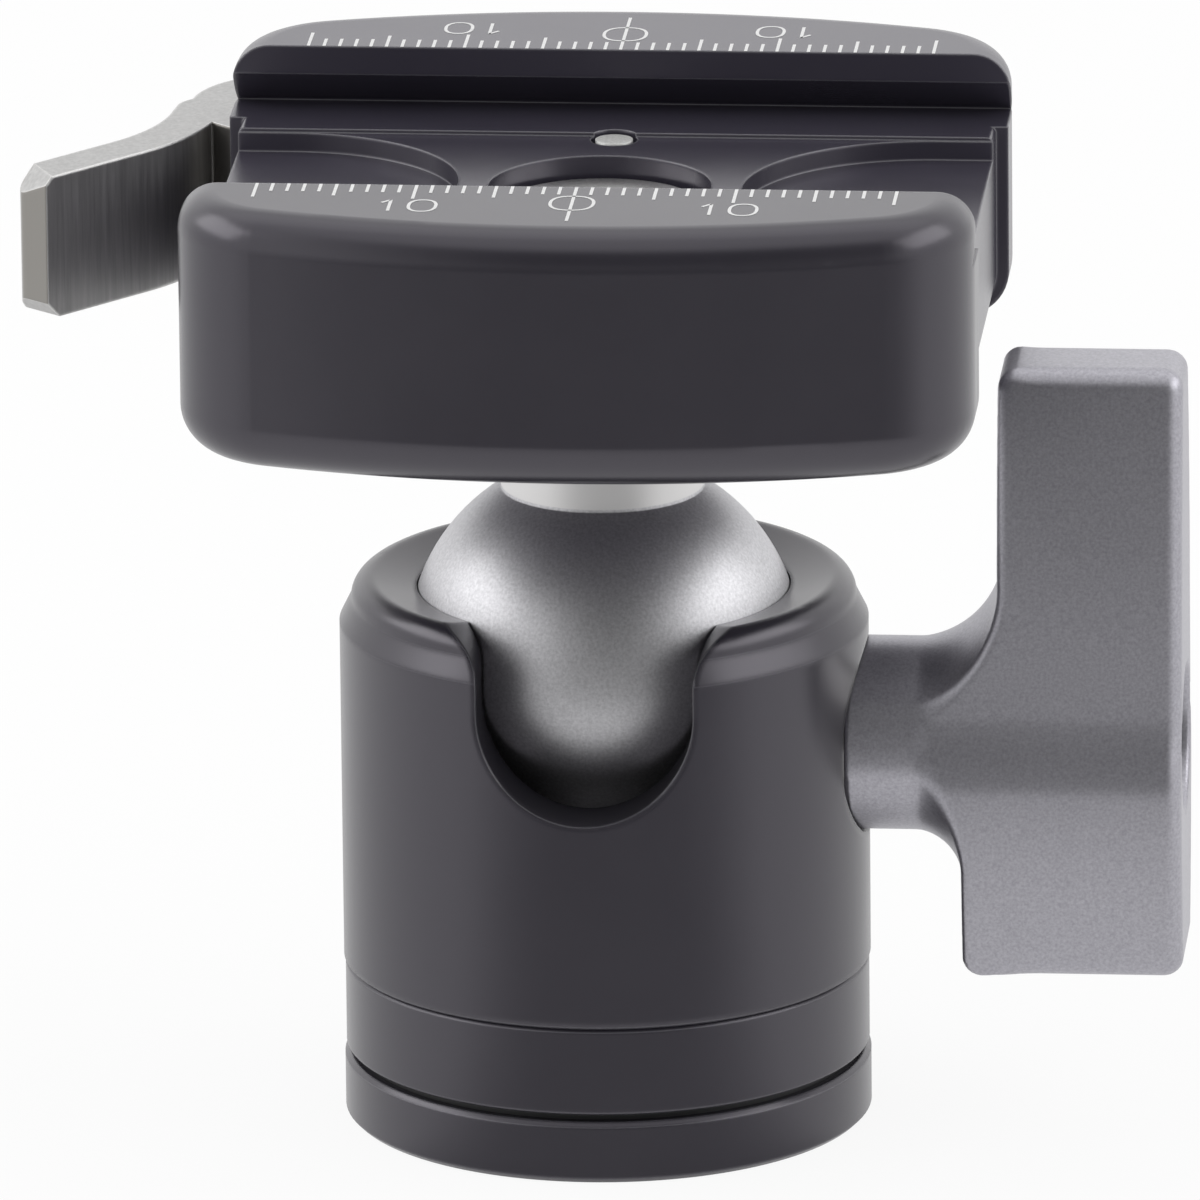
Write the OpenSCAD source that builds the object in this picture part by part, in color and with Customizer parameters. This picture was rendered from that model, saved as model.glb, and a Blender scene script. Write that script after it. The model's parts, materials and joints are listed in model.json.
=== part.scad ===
// Compact tripod ball head with a lever-release dovetail clamp.
// Millimetres. The origin is the centre of the foot's underside, on the pan axis.
// +Z is up, +X points along the locking knob, -Y is the front with the drop notch.
// The ball is shown upright and locked, and the clamp is closed.

/* [Fits] */
// Radial and axial gap between pieces that move on each other
run_gap = 0.05; // [0.03:0.01:0.08]
// Room round and past pieces that don't guide each other
free_gap = 0.3; // [0.2:0.05:0.4]
// Gap between pieces that are fixed to each other
seat_gap = 0.02; // [0.01:0.01:0.04]

/* [Foot] */
// Radius of the foot and of the housing
body_r = 16.8; // [16.5:0.1:17.2]
// Thickness of the foot
foot_h = 4; // [3.5:0.1:5]
// Chamfer round the foot's edges
foot_chamfer = 0.3; // [0.1:0.05:0.5]
// Radius of the hub that the head pans on
hub_r = 9; // [8.5:0.1:9.5]
// Thread radius of the tripod screw socket
socket_r = 2.6; // [2.4:0.05:3]
// Depth of the tripod screw socket
socket_depth = 8.5; // [7.5:0.1:9]
// Outer radius of the threaded insert
insert_r = 4.7; // [4:0.1:5.5]
// Thickness of the pan washer
washer_h = 0.45; // [0.3:0.05:0.8]
// How far the pan washer stays back from the foot's edge
washer_inset = 0.8; // [0.4:0.1:1.5]
// Height of the coned pan spring
pan_spring_h = 1.4; // [1.2:0.1:1.8]
// Outer radius of the coned pan spring
pan_spring_r = 11.6; // [11:0.1:11.8]
// Sheet thickness of both coned springs
spring_t = 0.6; // [0.4:0.05:0.8]
// Thickness of the retaining ring
ring_h = 1; // [0.8:0.1:1.2]
// Outer radius of the retaining ring
ring_r = 10.6; // [10.2:0.1:10.9]
// Depth of the retaining ring's groove
groove_depth = 0.9; // [0.6:0.1:1.2]
// Gap between the retaining ring's ends
ring_opening = 5; // [3:0.5:7]

/* [Lower collar] */
// How far the lower collar stays back from the housing's wall
collar_inset = 0.1; // [0:0.05:0.3]
// Height of the lower collar's outer wall
collar_h = 5.7; // [5:0.1:6.5]
// Thickness of the inner flange that runs on the hub
flange_h = 3; // [2.5:0.1:3.5]
// Bore radius above the flange
collar_bore_r = 12; // [11.9:0.1:12.4]
// Wall of the housing outside the collar's threaded spigot
spigot_wall = 1.8; // [1.6:0.1:2.2]
// Height of the threaded spigot
spigot_h = 3.2; // [2.8:0.1:3.4]
// Bevel at the seam between collar and housing
seam_bevel = 0.12; // [0.05:0.01:0.25]

/* [Housing] */
// Height of the ball's centre above the foot's underside
ball_z = 30.4; // [29.8:0.1:31]
// Height of the shoulder above the ball's centre
shoulder_rise = 2; // [1.6:0.1:2.4]
// Height of the rim above the ball's centre
rim_rise = 4.9; // [4.6:0.1:5.2]
// How far the rim stays back from the housing's wall
rim_inset = 0.75; // [0.5:0.05:1]
// Radius of the rim's crest
crest_r = 1.4; // [1:0.1:1.8]
// Height of the lip's edge above the ball's centre
lip_rise = 4.2; // [3.9:0.1:4.4]
// Wall of the housing below the ball, where the seat slides
seat_wall = 2.8; // [2.6:0.1:3]
// Clearance between the neck and the drop notch's sides
notch_clear = 0.4; // [0.35:0.05:0.8]
// Radius of the flare at the notch's mouth
flare_r = 3.2; // [2.6:0.1:3.6]

/* [Ball] */
// Distance from the ball to the housing's outer wall
ball_wall = 4.3; // [4.2:0.05:4.5]
// Gap between the ball and the socket
ball_gap = 0.1; // [0.05:0.01:0.12]
// Radius of the neck
neck_r = 6.45; // [5.8:0.05:6.5]
// Wall of the floating liner
liner_t = 1; // [0.8:0.05:1.1]
// Angle from the nadir to the liner's edge
liner_angle = 28; // [24:1:29]
// Half width of the liner's slot for the shoe
liner_slot = 4.2; // [4:0.1:4.6]
// Height of the seat's rim below the ball's centre
seat_drop = 10.2; // [10:0.1:10.6]
// Height of the coned seat spring
seat_spring_h = 1.45; // [1.2:0.05:1.7]

/* [Locking knob] */
// Height of the knob's axis below the ball's centre
knob_drop = 5.4; // [5.2:0.1:5.6]
// Thread radius of the clamp shaft
shaft_r = 4; // [3.9:0.05:4.2]
// Radius of the brake shoe
shoe_r = 3.6; // [3.2:0.1:3.7]
// Distance from the back of the shoe to the housing's outer wall
shoe_wall = 3.6; // [3.4:0.1:3.8]
// Length of the shaft
shaft_len = 14.7; // [14:0.1:15.5]
// Radius of the knob's stem
stem_r = 6.1; // [5.9:0.05:6.15]
// Depth of the recess round the stem
recess_depth = 1.2; // [1:0.05:1.3]
// Distance from the pan axis to the knob's outer face
knob_x = 37; // [36.4:0.1:37.6]
// Distance from the pan axis to the long arm's inner face
long_arm_x = 25.3; // [25.2:0.05:25.8]
// Distance from the pan axis to the short arm's inner face
short_arm_x = 23; // [22.6:0.1:23.6]
// Reach of the long arm from the knob's axis
long_arm = 24.9; // [24:0.1:24.9]
// Reach of the short arm from the knob's axis
short_arm = 14.8; // [14:0.1:16]
// Radius of the fillet from the stem to the long arm
long_fillet = 5.8; // [5:0.1:6.4]
// Radius of the fillet from the stem to the short arm
short_fillet = 3.5; // [3:0.1:4]
// Half thickness of the knob at its axis
blade_half = 6.2; // [6.16:0.01:6.4]
// Half thickness of the long arm at its tip
tip_half = 2.9; // [2.5:0.1:3.5]
// Corner radius of the knob's outline
knob_corner = 1.3; // [0.8:0.1:1.6]
// Radius of the counterbore in the knob's outer face
counterbore_r = 4.6; // [4.4:0.1:4.8]
// Depth of that counterbore
counterbore_depth = 4.5; // [4.2:0.1:4.8]
// Thread radius of the knob screw
knob_screw_r = 2.5; // [2.2:0.1:2.7]
// Head height of the knob screw
knob_screw_h = 3.6; // [3.2:0.1:4]
// Half width across the flats of the hexagon sockets
hex_half = 2; // [1.6:0.1:2.2]

/* [Clamp] */
// Height of the clamp's underside
clamp_z = 48.5; // [48:0.1:49]
// Height of the clamp
clamp_h = 16.7; // [16.4:0.1:17.2]
// Half length of the jaws
jaw_half = 24.9; // [24.5:0.1:25]
// Half length of the floor between the jaws
floor_half = 24.1; // [23.6:0.1:24.4]
// Half width over the jaws' outer faces
clamp_half = 27.6; // [27.2:0.1:28]
// Radius of the jaws' bowed outer faces
bow_r = 64; // [60:1:70]
// Radius of the clamp's corners
corner_r = 7.4; // [7:0.1:7.8]
// Rounding of the jaws' top edges
top_round = 2.4; // [2:0.1:2.6]
// Rounding of the clamp's bottom edges
bottom_round = 3; // [2.5:0.1:3.2]
// Half gap between the jaws' lips
lip_half = 16.25; // [16:0.05:16.4]
// Height of the lips' straight edge
lip_edge = 1.85; // [1.6:0.05:2]
// Depth from the clamp's top to the ledges that the plate rests on
ledge_depth = 4.2; // [4:0.1:4.4]
// Half distance between the ledges' inner edges
ledge_half = 11.6; // [11.6:0.1:12]
// Step from the ledges down to the floor
floor_step = 0.25; // [0.15:0.05:0.35]
// Depth of the floor's two side pockets
pocket_depth = 1.25; // [1:0.05:1.4]
// Distance of the side pockets' centres from the middle
pocket_x = 20.5; // [20:0.1:21]
// Radius of the side pockets
pocket_r = 11.5; // [11.2:0.1:11.5]
// Radius of the pocket round the clamp screw
screw_pocket_r = 7.05; // [6.8:0.05:7.2]
// Radius of the clamp screw's head
screw_head_r = 6.5; // [6.2:0.1:6.7]
// Thickness of the clamp screw's head
screw_head_h = 2.4; // [2:0.1:2.8]
// Depth of the clamp screw's head below the floor
screw_sunk = 1.35; // [1.2:0.05:1.6]
// Thread radius of the clamp screw
screw_r = 3; // [2.8:0.1:3.2]
// Length of the clamp screw below its head
screw_len = 19; // [17:0.5:20]
// Depth of the neck's seat in the clamp's underside
neck_seat = 0.6; // [0.4:0.05:0.8]
// Radius of the bright floor pin
pin_r = 1.2; // [1:0.05:1.3]
// Distance of the floor pin from the middle
pin_y = 10.9; // [10.6:0.1:11.2]
// Depth of the floor pin's hole
pin_len = 5.5; // [4:0.5:6]

/* [Moving jaw] */
// Distance from the middle to the split between the floor and the jaw
split_y = 14.1; // [13.9:0.1:14.3]
// Gap at that split with the clamp closed
split_gap = 0.2; // [0.15:0.05:0.3]
// Radius of the guide rods
guide_r = 1.5; // [1.3:0.1:1.6]
// Distance of the guide rods from the middle
guide_x = 13.5; // [13:0.1:14]
// Height of the guide rods above the clamp's underside
guide_rise = 5; // [4.6:0.1:5.4]
// Reach of the guide rods into the floor, past its middle
guide_reach = 6; // [4:0.5:7]
// Depth of the rods' holes in the jaw
rod_hole = 8; // [6:0.5:8.5]
// Length of the jaw springs
jaw_spring_len = 5.8; // [5:0.1:6.4]
// Mean radius of the jaw springs' coils
jaw_spring_r = 2.2; // [2.1:0.05:2.3]
// Wire radius of the jaw springs
wire_r = 0.3; // [0.25:0.05:0.35]
// Turns of each jaw spring
jaw_spring_turns = 4; // [3:1:5]

/* [Release lever] */
// Distance of the lever's pivot from the middle, along the clamp
pivot_x = 20.5; // [20.2:0.1:20.8]
// Distance of the lever's pivot from the clamp's outer face
pivot_inset = 6.1; // [5.8:0.1:6.4]
// Height of the lever's underside above the clamp's underside
lever_rise = 2.2; // [2:0.1:2.4]
// Height of the lever
lever_h = 9.3; // [9:0.1:9.4]
// Radius of the lever's hub
lever_hub_r = 7.6; // [7.5:0.1:7.8]
// Gap between the lever's hub and the pocket it turns in
lever_gap = 0.3; // [0.2:0.05:0.4]
// Thickness of the lever's handle
handle_t = 3.1; // [2.8:0.1:3.4]
// Distance of the handle's root from the pivot
handle_root = 6.75; // [6.6:0.05:6.9]
// Angle of the handle's root against the clamp's side
root_angle = 6; // [4:1:8]
// Length of the handle's straight root
root_len = 3; // [2.5:0.1:4]
// Rounding of the root's outer end
root_round = 2.4; // [1.6:0.1:2.8]
// Radius of the handle's bend
bend_r = 15; // [14:0.5:18]
// Angle of the handle's bend
bend_angle = 34; // [30:1:38]
// Length of the handle's straight tip
tip_len = 8.8; // [7:0.1:9.2]
// Rounding of the tip's outer corner
tip_round = 1.2; // [0.8:0.1:1.4]
// Chamfer under the tip
tip_chamfer = 1; // [0.6:0.1:1.4]
// Chamfer over the tip at its inner face
tip_bevel = 0.5; // [0.3:0.1:0.8]
// Slant of the chamfer over the tip, which widens it outwards
bevel_slant = 24; // [10:1:30]
// Radius of the eccentric bush
bush_r = 3.2; // [3.1:0.05:3.3]
// Offset of the eccentric bush from the pivot
bush_offset = 1.2; // [1:0.05:1.25]
// Radius of the pivot pin
lever_pin_r = 1.25; // [1.1:0.05:1.3]
// Radius of the slot inside the hub
hub_slot_r = 6.1; // [6:0.05:6.3]
// Thickness of the draw rod's eye
eye_t = 1.8; // [1.5:0.1:2]
// Wall round the draw rod's eye
eye_wall = 1; // [0.8:0.1:1.1]
// Play of the bush in the eye along the rod
eye_play = 0.35; // [0.33:0.01:0.4]
// Radius of the draw rod
draw_r = 1.5; // [1.3:0.1:1.6]
// Half width of the draw rod's flat neck
neck_half = 2; // [1.8:0.1:2.1]
// How much shallower the draw rod's hole is than the guide rods' holes
draw_hole_less = 1.5; // [1.5:0.1:3]
// Distance from the clamp's underside to the pivot pin's lower end
pin_floor = 0.4; // [0.3:0.1:0.6]
// How far the pivot pin reaches past the lever
pin_reach = 2; // [1.5:0.1:2.4]

/* [Hidden] */
$fn = 64;
over = 1; // how far cutters reach past the surface that they cut
far = 60; // a length past every outline
over_angle = 1; // how far the bowed face reaches past the middle, in degrees
lap_angle = 0.0001; // how far sectors lap into their neighbours, so that they join

collar_z = foot_h + washer_h + run_gap;
flange_top = collar_z + flange_h;
collar_r = body_r - collar_inset;
spigot_r = body_r - spigot_wall;
rim_r = body_r - rim_inset;
seat_bore_r = body_r - seat_wall;
ball_r = body_r - ball_wall;
shoe_back = body_r - shoe_wall;
recess_x = body_r - recess_depth;
ring_z = flange_top + run_gap + pan_spring_h + run_gap;
hub_top = ring_z + ring_h + ring_h;
seam_z = collar_z + collar_h;
spigot_top = seam_z + spigot_h;
seat_bottom = spigot_top + seat_spring_h + 2 * run_gap;
seat_rim = ball_z - seat_drop;
bore_step = seat_rim + 0.2;
shoe_front = ball_r / 2; // inside the ball, so that the ball's shape is cut into the shoe
socket_in = ball_r + ball_gap;
liner_in = ball_r + run_gap;
liner_out = liner_in + liner_t;
dish_r = liner_out + run_gap;
rim_z = ball_z + rim_rise;
notch_r = neck_r + notch_clear;
flare_top = rim_z + free_gap / 2;
knob_z = ball_z - knob_drop;
shaft_x = shoe_back + run_gap;
shaft_end = shaft_x + shaft_len;
screw_grip = 6; // length of the knob screw inside the shaft
counterbore_x = knob_x - counterbore_depth;

clamp_top = clamp_z + clamp_h;
ledge_z = clamp_top - ledge_depth;
floor_z = ledge_z - floor_step;
undercut_half = lip_half + ledge_depth - lip_edge;
corner_x = jaw_half - corner_r;
bow_y = clamp_half - bow_r;
corner_y = bow_y + sqrt(pow(bow_r - corner_r, 2) - pow(corner_x, 2));
bow_half_angle = asin(corner_x / (bow_r - corner_r));
jaw_inner = split_y + split_gap / 2;
floor_front = split_y - split_gap / 2;
screw_seat_z = floor_z - screw_sunk - screw_head_h;
guide_z = clamp_z + guide_rise;
draw_hole = rod_hole - draw_hole_less; // depth of the draw rod's hole in the jaw

lever_z = clamp_z + lever_rise;
lever_top = lever_z + lever_h;
draw_z = lever_z + lever_h / 2;
slot_h = eye_t + free_gap;
pivot_y = clamp_half - pivot_inset;
bush_y = pivot_y + bush_offset;
draw_bore_r = draw_r + free_gap;
neck_bore_r = norm([neck_half, eye_t / 2]) + free_gap / 2;
neck_front = pivot_y - lever_hub_r - lever_gap - over;
draw_travel = 1.7; // how far the draw rod moves
pin_z = clamp_z + pin_floor;
pin_top = lever_top + pin_reach;

/* Shared shapes */

// Quarter disc of radius r at [x, z], in the quadrant named by the two signs
module quarter(r, x, z, sx, sz) {
    translate([x, z])
        intersection() {
            circle(r);
            scale([sx, sz]) square(r + over);
        }
}

// Section of a bar from x = 0 to w and z = 0 to h, its outer edges rounded
module bar_section(w, h, top_r, bottom_r) {
    polygon([
        [0, 0], [w - bottom_r, 0], [w - bottom_r, bottom_r], [w, bottom_r],
        [w, h - top_r], [w - top_r, h - top_r], [w - top_r, h], [0, h]
    ]);
    quarter(bottom_r, w - bottom_r, bottom_r, 1, -1);
    quarter(top_r, w - top_r, h - top_r, 1, 1);
}

// Rectangle from [x0, z0] to [x1, z1] with its four corners rounded
module rounded_rect(x0, z0, x1, z1, r) {
    polygon([
        [x0 + r, z0], [x1 - r, z0], [x1 - r, z0 + r], [x1, z0 + r],
        [x1, z1 - r], [x1 - r, z1 - r], [x1 - r, z1], [x0 + r, z1],
        [x0 + r, z1 - r], [x0, z1 - r], [x0, z0 + r], [x0 + r, z0 + r]
    ]);
    quarter(r, x0 + r, z0 + r, -1, -1);
    quarter(r, x1 - r, z0 + r, 1, -1);
    quarter(r, x1 - r, z1 - r, 1, 1);
    quarter(r, x0 + r, z1 - r, -1, 1);
}

// Flat oval of end radius r whose end centres lie dx either side of the middle
module oval(r, dx) {
    translate([-dx, -r]) square([2 * dx, 2 * r]);
    for (side = [-1, 1])
        translate([side * dx, 0])
            intersection() {
                circle(r);
                translate([side < 0 ? -far : 0, -far]) square([far, 2 * far]);
            }
}

// Coned spring washer: wide edge at z, narrow edge h higher, sheet thickness t
module coned_spring(r_out, r_in, z, h, t) {
    rotate_extrude()
        polygon([
            [r_in, z + h - t], [r_out, z], [r_out, z + t], [r_in, z + h]
        ]);
}

// Cylinder of radius r along +X from x to x + length, on the knob's axis
module x_rod(r, x, length) {
    translate([x, 0, knob_z]) rotate([0, 90, 0]) cylinder(r = r, h = length);
}

// Cylinder of radius r along Y from y0 to y1
module y_rod(r, x, z, y0, y1) {
    translate([x, y0, z]) rotate([-90, 0, 0]) cylinder(r = r, h = y1 - y0);
}

/* Foot and pan bearing */

module base_plate() {
    groove_r = hub_r - groove_depth;
    color("#2c2b2f")
        difference() {
            rotate_extrude()
                polygon([
                    [0, 0], [body_r - foot_chamfer, 0], [body_r, foot_chamfer],
                    [body_r, foot_h - foot_chamfer], [body_r - foot_chamfer, foot_h],
                    [hub_r, foot_h], [hub_r, ring_z - seat_gap],
                    [groove_r, ring_z - seat_gap],
                    [groove_r, ring_z + ring_h + seat_gap],
                    [hub_r, ring_z + ring_h + seat_gap],
                    [hub_r, hub_top - foot_chamfer], [hub_r - foot_chamfer, hub_top],
                    [0, hub_top]
                ]);
            translate([0, 0, -over])
                cylinder(r = insert_r + seat_gap, h = socket_depth + over);
        }
}

module thread_insert() {
    color("#b9b9bc")
        difference() {
            cylinder(r = insert_r, h = socket_depth);
            translate([0, 0, -over]) cylinder(r = socket_r, h = socket_depth + 2 * over);
        }
}

module pan_washer() {
    color("#141416")
        translate([0, 0, foot_h])
            difference() {
                cylinder(r = body_r - washer_inset, h = washer_h);
                translate([0, 0, -over]) cylinder(r = hub_r + run_gap, h = washer_h + 2 * over);
            }
}

module pan_spring() {
    color("#8f9094")
        coned_spring(pan_spring_r, hub_r + 2 * run_gap, flange_top + run_gap,
            pan_spring_h, spring_t);
}

module retaining_ring() {
    color("#77787c")
        difference() {
            translate([0, 0, ring_z]) cylinder(r = ring_r, h = ring_h);
            translate([0, 0, ring_z - over])
                cylinder(r = hub_r - groove_depth + seat_gap, h = ring_h + 2 * over);
            translate([-ring_opening / 2, 0, ring_z - over])
                cube([ring_opening, far, ring_h + 2 * over]);
        }
}

/* Housing */

module housing_section() {
    crest_x = rim_r - crest_r;
    crest_z = rim_z - crest_r;
    lip_z = ball_z + lip_rise;
    difference() {
        union() {
            polygon([
                [0, seam_z], [body_r - seam_bevel, seam_z],
                [body_r, seam_z + seam_bevel],
                [body_r, ball_z + shoulder_rise], [rim_r, crest_z],
                [crest_x, crest_z], [crest_x, rim_z],
                [sqrt(pow(socket_in, 2) - pow(lip_rise, 2)), lip_z], [0, lip_z]
            ]);
            quarter(crest_r, crest_x, crest_z, 1, 1);
        }
        quarter(socket_in, 0, ball_z, 1, 1);
        translate([-over, bore_step]) square([socket_in + over, ball_z - bore_step]);
        translate([-over, spigot_top + run_gap])
            square([seat_bore_r + over, bore_step - spigot_top - run_gap]);
        translate([-over, seam_z - over])
            square([spigot_r + seat_gap + over, spigot_h + run_gap + over]);
        translate([-far, seam_z - over]) square([far, far]);
    }
}

// Outline of the drop notch, seen from the front
module notch_outline() {
    flare_x = notch_r + flare_r;
    flare_z = flare_top - flare_r;
    intersection() {
        translate([0, ball_z]) circle(notch_r);
        translate([-far, ball_z - far]) square([2 * far, far]);
    }
    translate([-notch_r, ball_z]) square([2 * notch_r, far]);
    for (side = [-1, 1])
        scale([side, 1])
            difference() {
                translate([notch_r, flare_z]) square([flare_r, far]);
                translate([flare_x, flare_z]) circle(flare_r);
            }
}

module housing() {
    color("#2c2b2f")
        difference() {
            rotate_extrude() housing_section();
            rotate([90, 0, 0]) linear_extrude(far) notch_outline();
            x_rod(shaft_r + run_gap, 0, far);
            x_rod(stem_r + free_gap, recess_x, far);
        }
}

module lower_collar() {
    color("#2c2b2f")
        rotate_extrude()
            polygon([
                [hub_r + run_gap, collar_z], [collar_r - seam_bevel, collar_z],
                [collar_r, collar_z + seam_bevel], [collar_r, seam_z - 2 * seam_bevel],
                [collar_r - 2 * seam_bevel, seam_z], [spigot_r, seam_z],
                [spigot_r, spigot_top], [collar_bore_r, spigot_top],
                [collar_bore_r, flange_top], [hub_r + run_gap, flange_top]
            ]);
}

module ball_seat() {
    vent_r = 2;
    color("#8c8d90")
        rotate_extrude()
            difference() {
                translate([vent_r, seat_bottom])
                    square([seat_bore_r - run_gap - vent_r, seat_rim - seat_bottom]);
                translate([0, ball_z]) circle(dish_r);
            }
}

module seat_spring() {
    wide_r = seat_bore_r - free_gap;
    color("#8f9094")
        coned_spring(wide_r, hub_r, spigot_top + run_gap, seat_spring_h, spring_t);
}

module ball_liner() {
    vent_angle = 5;
    edge = liner_out + over;
    color("#e6e4de")
        difference() {
            rotate_extrude()
                translate([0, ball_z])
                    intersection() {
                        difference() {
                            circle(liner_out);
                            circle(liner_in);
                        }
                        polygon([
                            [0, 0], [edge * tan(vent_angle), -edge],
                            [edge * tan(liner_angle), -edge]
                        ]);
                    }
            translate([liner_slot / 2, -liner_slot, 0])
                cube([far, 2 * liner_slot, ball_z]);
        }
}

/* Ball */

module ball() {
    color("#a2a3a6")
        difference() {
            union() {
                translate([0, 0, ball_z]) sphere(ball_r);
                translate([0, 0, ball_z])
                    cylinder(r = neck_r, h = clamp_z + neck_seat - run_gap - ball_z);
            }
            translate([0, 0, screw_seat_z - screw_len - over])
                cylinder(r = screw_r + run_gap, h = far);
        }
}

/* Lock */

module brake_shoe() {
    peg_r = 1.5;
    color("#c9a24a")
        difference() {
            union() {
                x_rod(shoe_r, shoe_front, shoe_back - shoe_front);
                x_rod(peg_r, shoe_back - over, over + peg_r);
            }
            translate([0, 0, ball_z]) sphere(ball_r + ball_gap);
        }
}

module clamp_shaft() {
    peg_hole_r = 1.65;
    thread_depth = 7;
    color("#b9b9bc")
        difference() {
            x_rod(shaft_r, shaft_x, shaft_len);
            x_rod(peg_hole_r, shaft_x - over, over + peg_hole_r + free_gap);
            x_rod(knob_screw_r + seat_gap, shaft_end - thread_depth, far);
        }
}

// Stem and its hollow fillet up to the inner face of an arm, turned about the axis
module knob_flare(fillet, face_x) {
    start = face_x - fillet;
    foot_x = recess_x + seat_gap;
    translate([0, 0, knob_z])
        rotate([0, 90, 0])
            rotate_extrude()
                difference() {
                    union() {
                        translate([0, foot_x]) square([stem_r, face_x - foot_x]);
                        translate([stem_r - over, start]) square([fillet + over, fillet]);
                    }
                    translate([stem_r + fillet, start]) circle(fillet);
                }
}

module half_space(sign) {
    translate([0, -far / 2, sign > 0 ? knob_z : knob_z - far]) cube([far, far, far]);
}

// The space between the knob's two bowed faces
module between_faces(face_r, face_y) {
    intersection() {
        translate([0, face_y, knob_z]) rotate([0, 90, 0]) cylinder(r = face_r, h = far, $fn = 360);
        translate([0, -face_y, knob_z]) rotate([0, 90, 0]) cylinder(r = face_r, h = far, $fn = 360);
    }
}

module knob() {
    sag = blade_half - tip_half;
    face_r = (pow(long_arm, 2) + pow(sag, 2)) / (2 * sag);
    face_y = face_r - blade_half;
    top_z = knob_z + long_arm;
    bottom_z = knob_z - short_arm;
    color("#85868a")
        difference() {
            union() {
                x_rod(stem_r, recess_x + seat_gap, short_arm_x - short_fillet - recess_x);
                intersection() {
                    union() {
                        intersection() {
                            knob_flare(long_fillet, long_arm_x);
                            half_space(1);
                        }
                        intersection() {
                            knob_flare(short_fillet, short_arm_x);
                            half_space(-1);
                        }
                        rotate([90, 0, 0])
                            translate([0, 0, -far / 2])
                                linear_extrude(far) {
                                    rounded_rect(long_arm_x, bottom_z, knob_x, top_z, knob_corner);
                                    rounded_rect(short_arm_x, bottom_z, knob_x, knob_z + 2 * knob_corner,
                                        knob_corner);
                                }
                    }
                    between_faces(face_r, face_y);
                }
            }
            x_rod(shaft_r + seat_gap, 0, shaft_end + seat_gap);
            x_rod(knob_screw_r + free_gap / 2, 0, far);
            x_rod(counterbore_r, counterbore_x, far);
        }
}

module knob_screw() {
    head_r = counterbore_r - free_gap;
    hex_depth = 2.2;
    color("#b9b9bc")
        difference() {
            union() {
                x_rod(knob_screw_r, shaft_end - screw_grip,
                    counterbore_x - shaft_end + screw_grip + seat_gap);
                x_rod(head_r, counterbore_x + seat_gap, knob_screw_h);
            }
            translate([counterbore_x + seat_gap + knob_screw_h - hex_depth, 0, knob_z])
                rotate([0, 90, 0])
                    cylinder(r = hex_half / cos(30), h = hex_depth + over, $fn = 6);
        }
}

/* Clamp */

// Jaw bar from y = inner out to the bowed outer face, edges rounded
module jaw_bar(inner) {
    depth = bow_r - (inner - bow_y) + over;
    ray = bow_r - depth;
    ray_x = ray * sin(bow_half_angle);
    ray_y = bow_y + ray * cos(bow_half_angle);
    translate([0, 0, clamp_z])
        intersection() {
            translate([-far, inner, -over]) cube([2 * far, far, clamp_h + 2 * over]);
            for (side = [0, 1])
                mirror([side, 0, 0]) {
                    translate([0, bow_y, 0])
                        rotate([0, 0, 90 - bow_half_angle - lap_angle])
                            rotate_extrude(angle = bow_half_angle + over_angle, $fn = 180)
                                translate([ray, 0])
                                    bar_section(depth, clamp_h, top_round, bottom_round);
                    translate([corner_x, corner_y, 0])
                        rotate_extrude(angle = 90 - bow_half_angle)
                            bar_section(corner_r, clamp_h, top_round, bottom_round);
                    translate([corner_x, corner_y, 0])
                        rotate([90, 0, 0])
                            linear_extrude(corner_y - inner + over)
                                bar_section(corner_r, clamp_h, top_round, bottom_round);
                    linear_extrude(clamp_h)
                        polygon([
                            [corner_x, corner_y], [ray_x, ray_y],
                            [corner_x, inner - over]
                        ]);
                }
        }
}

// The dovetail channel's half that a jaw on the +Y side is cut to
module dovetail_cut() {
    translate([-far, 0, 0])
        rotate([90, 0, 90])
            linear_extrude(2 * far)
                polygon([
                    [0, ledge_z], [undercut_half, ledge_z],
                    [lip_half, clamp_top - lip_edge], [lip_half, clamp_top + over],
                    [0, clamp_top + over]
                ]);
}

module floor_block() {
    width = jaw_inner + over + floor_front;
    edge_r = 0.4;
    translate([0, jaw_inner + over, clamp_z])
        rotate([90, 0, 0])
            linear_extrude(width)
                for (side = [0, 1])
                    mirror([side, 0, 0])
                        bar_section(floor_half, ledge_z - clamp_z, edge_r, bottom_round);
}

// Side pocket in the floor, open at the clamp's end
module side_pocket() {
    translate([0, 0, floor_z - pocket_depth])
        linear_extrude(far) {
            intersection() {
                translate([pocket_x, 0]) circle(pocket_r);
                translate([0, -far]) square([pocket_x, 2 * far]);
            }
            translate([pocket_x, -pocket_r]) square([far, 2 * pocket_r]);
        }
}

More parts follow.
